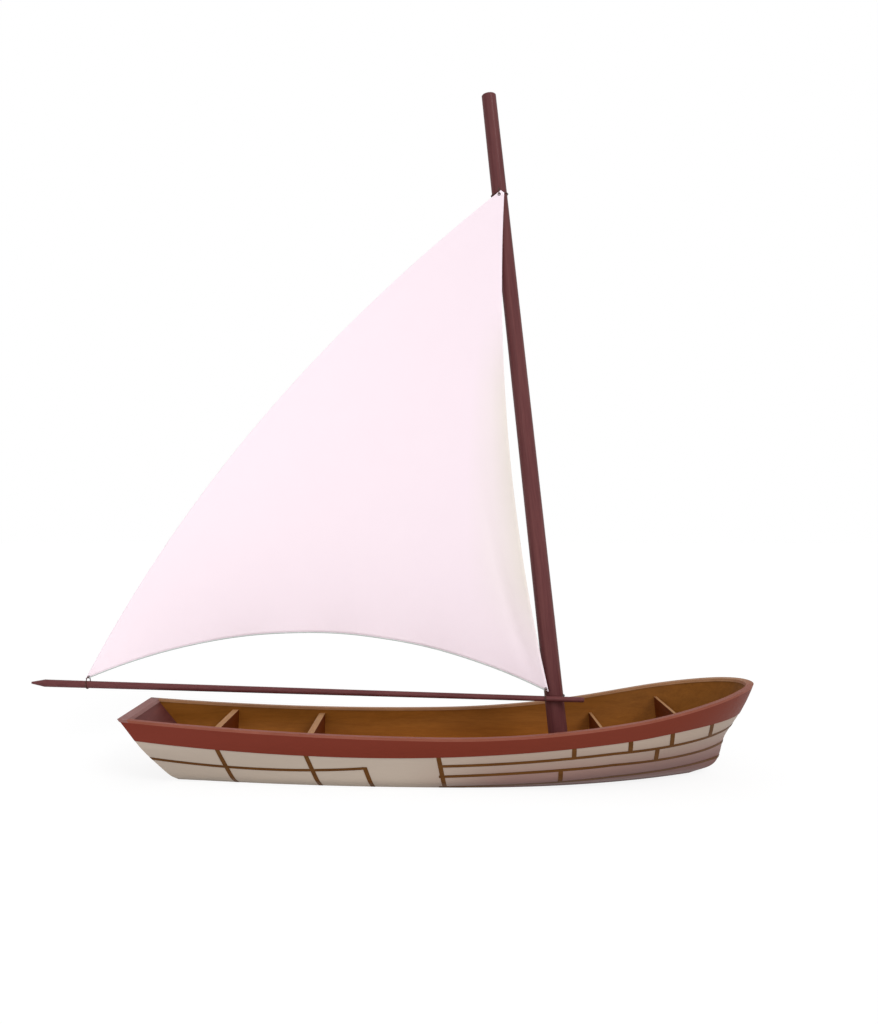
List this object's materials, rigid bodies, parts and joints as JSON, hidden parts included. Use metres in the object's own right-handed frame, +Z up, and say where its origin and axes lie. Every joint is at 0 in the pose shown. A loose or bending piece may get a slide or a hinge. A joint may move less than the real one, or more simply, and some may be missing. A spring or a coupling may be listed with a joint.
{
  "type": "small open wooden sailing boat",
  "caption": "Open planked sailing boat with a flat bottom, raked transom, leaning free-standing mast, swinging boom and a loose-footed triangular sail.",
  "frame": {"origin": "on the flat bottom, on the centre line, below the lowest point of the sheer", "axes": "+X forward to the bow, +Y to port, +Z up"},
  "size_m": [6.0686, 1.4014, 5.4645],
  "materials": {
    "white_paint": "off-white paint on planks",
    "red_paint": "dark red paint on the sheer strake",
    "batten_wood": "dark brown seam battens",
    "hull_wood": "oiled brown wood",
    "rail_wood": "worn light brown wood",
    "transom_wood": "weathered reddish wood",
    "spar_wood": "dark red-brown varnished wood",
    "iron": "black forged iron",
    "sailcloth": "pale pink woven sailcloth",
    "rope": "laid natural rope"
  },
  "bodies": {
    "hull": {"bottom_boards": "hull_wood", "transom": "transom_wood", "transom_cap": "transom_wood", "quarter_planks_starboard": "white_paint", "quarter_planks_port": "white_paint", "waist_planks_starboard": "white_paint", "waist_planks_port": "white_paint", "midship_planks_starboard": "white_paint", "midship_planks_port": "white_paint", "bow_strakes_starboard": "white_paint", "bow_strakes_port": "white_paint", "seam_battens_starboard": "batten_wood", "seam_battens_port": "batten_wood", "sheer_strake_starboard": "red_paint", "sheer_strake_port": "red_paint", "lining_starboard": "hull_wood", "lining_port": "hull_wood", "rail_starboard": "rail_wood", "rail_port": "rail_wood", "bulkhead_stern": "hull_wood", "bulkhead_waist": "hull_wood", "bulkhead_mast": "hull_wood", "bulkhead_bow": "hull_wood", "mast_step": "hull_wood", "mast": "spar_wood", "mast_collar": "spar_wood"},
    "boom": {"boom": "spar_wood", "boom_ring": "iron", "sail": "sailcloth", "head_strop": "rope", "clew_strop": "rope", "tack_strop": "rope"}
  },
  "joints": [
    {"name": "boom_swing", "type": "hinge", "parent": "hull", "child": "boom", "pos_m": [0.993, 0, 0], "axis": [-0.108, 0, 0.9942], "range_deg": [-70, 90]}
  ]
}
